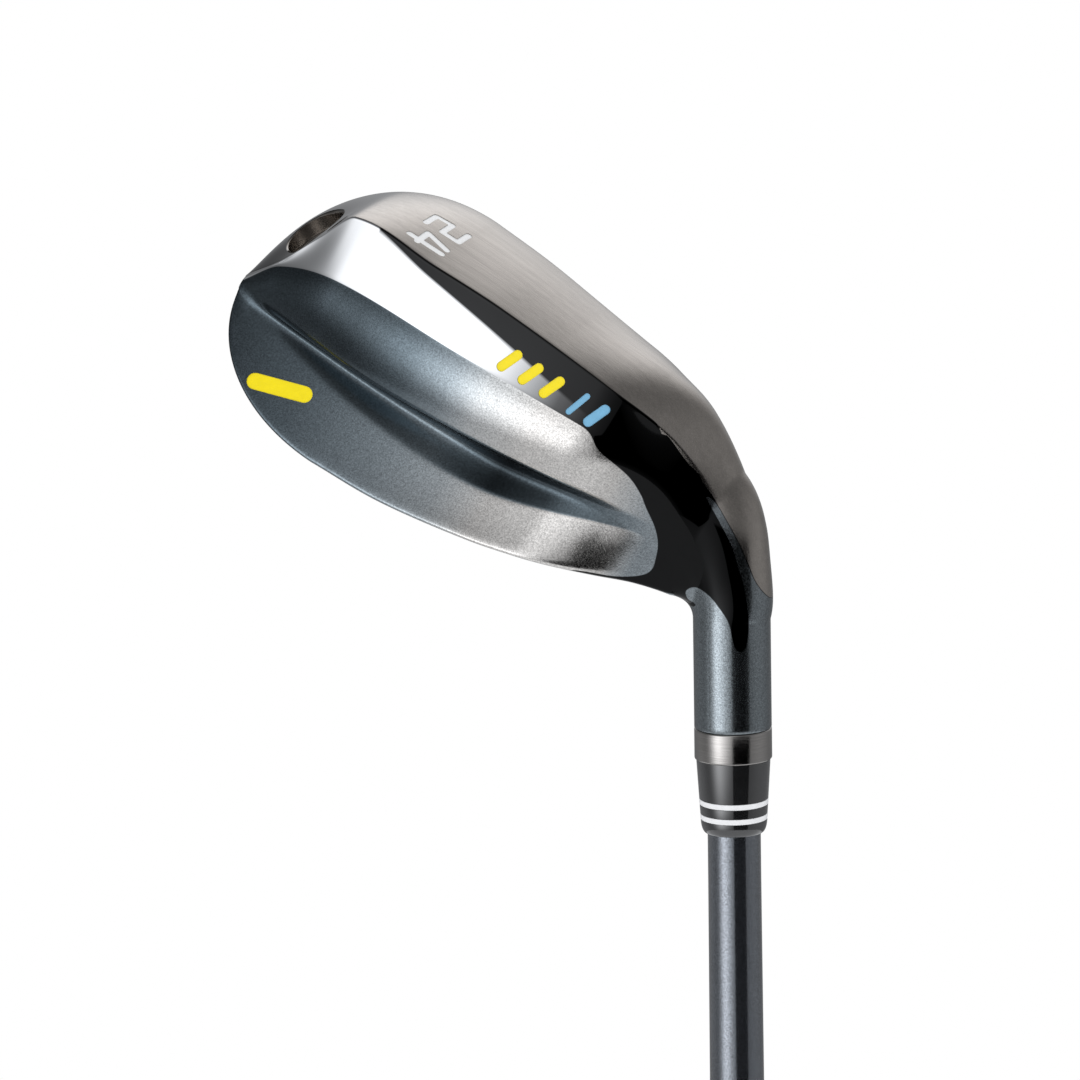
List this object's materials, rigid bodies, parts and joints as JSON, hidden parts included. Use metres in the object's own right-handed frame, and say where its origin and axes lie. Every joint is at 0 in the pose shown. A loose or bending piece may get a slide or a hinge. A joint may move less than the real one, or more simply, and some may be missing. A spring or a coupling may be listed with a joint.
{
  "type": "hybrid iron golf club",
  "caption": "Right-handed hollow-headed hybrid iron golf club with a grooved face, toe port, banded ferrule, tapered shaft and rubber grip.",
  "frame": {"origin": "centre of the vent hole in the butt of the grip", "axes": "+Z along the shaft from the butt to the head, +Y towards the target, -X and up to the toe"},
  "size_m": [0.1026, 0.0363, 1.0072],
  "materials": {
    "head_satin": "satin metallic flake on steel, with a polished black-nickel muscle and a brushed sole",
    "face_steel": "fine blasted dark steel with milled score lines",
    "weight_metal": "light grey, fine turned",
    "enamel_white": "gloss enamel fill",
    "enamel_yellow": "gloss enamel fill",
    "enamel_blue": "gloss enamel fill",
    "epoxy": "cured adhesive",
    "collar_brushed": "brushed round its circumference",
    "ferrule_black": "high gloss",
    "ring_white": "high gloss",
    "shaft_graphite": "dark grey metallic flake under clear coat",
    "pin_brass": "as turned",
    "tape": "double-sided paper tape",
    "grip_rubber": "matt, moulded texture",
    "cap_rubber": "matt, moulded"
  },
  "bodies": {
    "root": {"head_body": "head_satin", "face_plate": "face_steel", "toe_weight": "weight_metal", "loft_number": "enamel_white", "accent_bars_yellow": "enamel_yellow", "accent_bars_blue": "enamel_blue", "toe_mark": "enamel_yellow", "hosel_epoxy": "epoxy", "hosel_collar": "collar_brushed", "ferrule_base": "ferrule_black", "ferrule_ring_lower": "ring_white", "ferrule_spacer": "ferrule_black", "ferrule_ring_upper": "ring_white", "ferrule_nose": "ferrule_black", "shaft": "shaft_graphite", "swing_weight_pin": "pin_brass", "grip_tape": "tape", "grip_sleeve": "grip_rubber", "grip_cap": "cap_rubber"}
  },
  "joints": []
}
